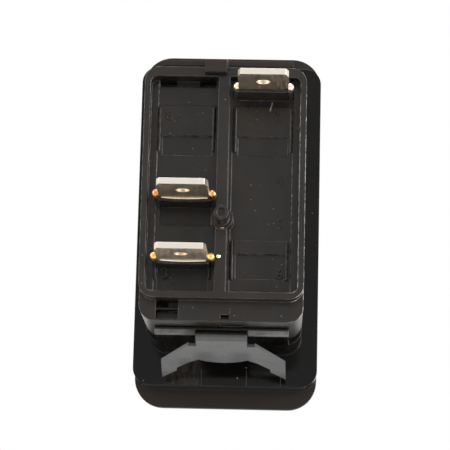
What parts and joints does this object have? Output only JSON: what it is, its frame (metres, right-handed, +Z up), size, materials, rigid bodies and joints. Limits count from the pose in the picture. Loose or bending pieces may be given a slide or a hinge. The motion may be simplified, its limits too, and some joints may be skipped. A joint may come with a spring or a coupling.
{
  "type": "panel rocker switch",
  "caption": "Snap-in rocker switch for a rectangular panel cut-out, with push-on blade terminals at the rear and a small lamp lens in the rocker.",
  "frame": {"origin": "middle of the bezel's rear face, the plane that seats on the front of the panel", "axes": "+Y backwards through the panel cut-out, along the terminals; +Z up the long side, towards the lamp terminal; +X across, so the front with the rocker faces -Y"},
  "size_m": [0.0254, 0.0468, 0.0508],
  "materials": {
    "bezel_frame": "moulded black, satin",
    "base_housing": "moulded black, glass filled, satin",
    "terminal_common": "tin plated brass, satin",
    "terminal_switched": "tin plated brass, satin",
    "terminal_lamp": "tin plated brass, satin",
    "fixed_contact": "silver contact rivet",
    "lamp_board": "green laminate",
    "lamp_led": "cast resin, clear",
    "lamp_resistor": "lacquered body with tinned leads",
    "lamp_feed_strip": "stamped brass",
    "lamp_feed_spring": "spring wire",
    "lamp_return_spring": "spring wire",
    "panel_clip_lower": "spring steel, satin",
    "panel_clip_upper": "spring steel, satin",
    "rocker_actuator": "natural nylon",
    "rocker_cap": "moulded black, satin",
    "lens_window": "translucent lens",
    "light_guide": "clear light guide",
    "plunger": "acetal",
    "plunger_spring": "spring wire",
    "contact_arm": "copper alloy strip",
    "moving_contact": "silver contact button"
  },
  "bodies": {
    "housing": {"bezel_frame": "bezel_frame", "base_housing": "base_housing", "terminal_common": "terminal_common", "terminal_switched": "terminal_switched", "terminal_lamp": "terminal_lamp", "fixed_contact": "fixed_contact", "lamp_board": "lamp_board", "lamp_led": "lamp_led", "lamp_resistor": "lamp_resistor", "lamp_feed_strip": "lamp_feed_strip", "lamp_feed_spring": "lamp_feed_spring", "lamp_return_spring": "lamp_return_spring", "panel_clip_lower": "panel_clip_lower", "panel_clip_upper": "panel_clip_upper"},
    "rocker": {"rocker_actuator": "rocker_actuator", "rocker_cap": "rocker_cap", "lens_window": "lens_window", "light_guide": "light_guide"},
    "plunger": {"plunger": "plunger", "plunger_spring": "plunger_spring"},
    "contact_arm": {"contact_arm": "contact_arm", "moving_contact": "moving_contact"}
  },
  "joints": [
    {"name": "rocker_press", "type": "hinge", "parent": "housing", "child": "rocker", "pos_m": [0, -0.0025, 0], "axis": [1, 0, 0], "range_deg": [0, 22]},
    {"name": "contact_arm_rock", "type": "hinge", "parent": "housing", "child": "contact_arm", "pos_m": [0.00488, 0.0125, 0], "axis": [1, 0, 0], "range_deg": [-8.8, 0]},
    {"name": "plunger_slide", "type": "slide", "parent": "rocker", "child": "plunger", "axis": [0, -0.9816, 0.1908], "range_m": [0, 0.0007], "stiffness_N_per_m": 500, "springref_m": -0.002, "deforming": ["plunger_spring"]}
  ],
  "couplings": [
    {"joint": "contact_arm_rock", "follows": "rocker_press", "ratio": -0.4}
  ]
}
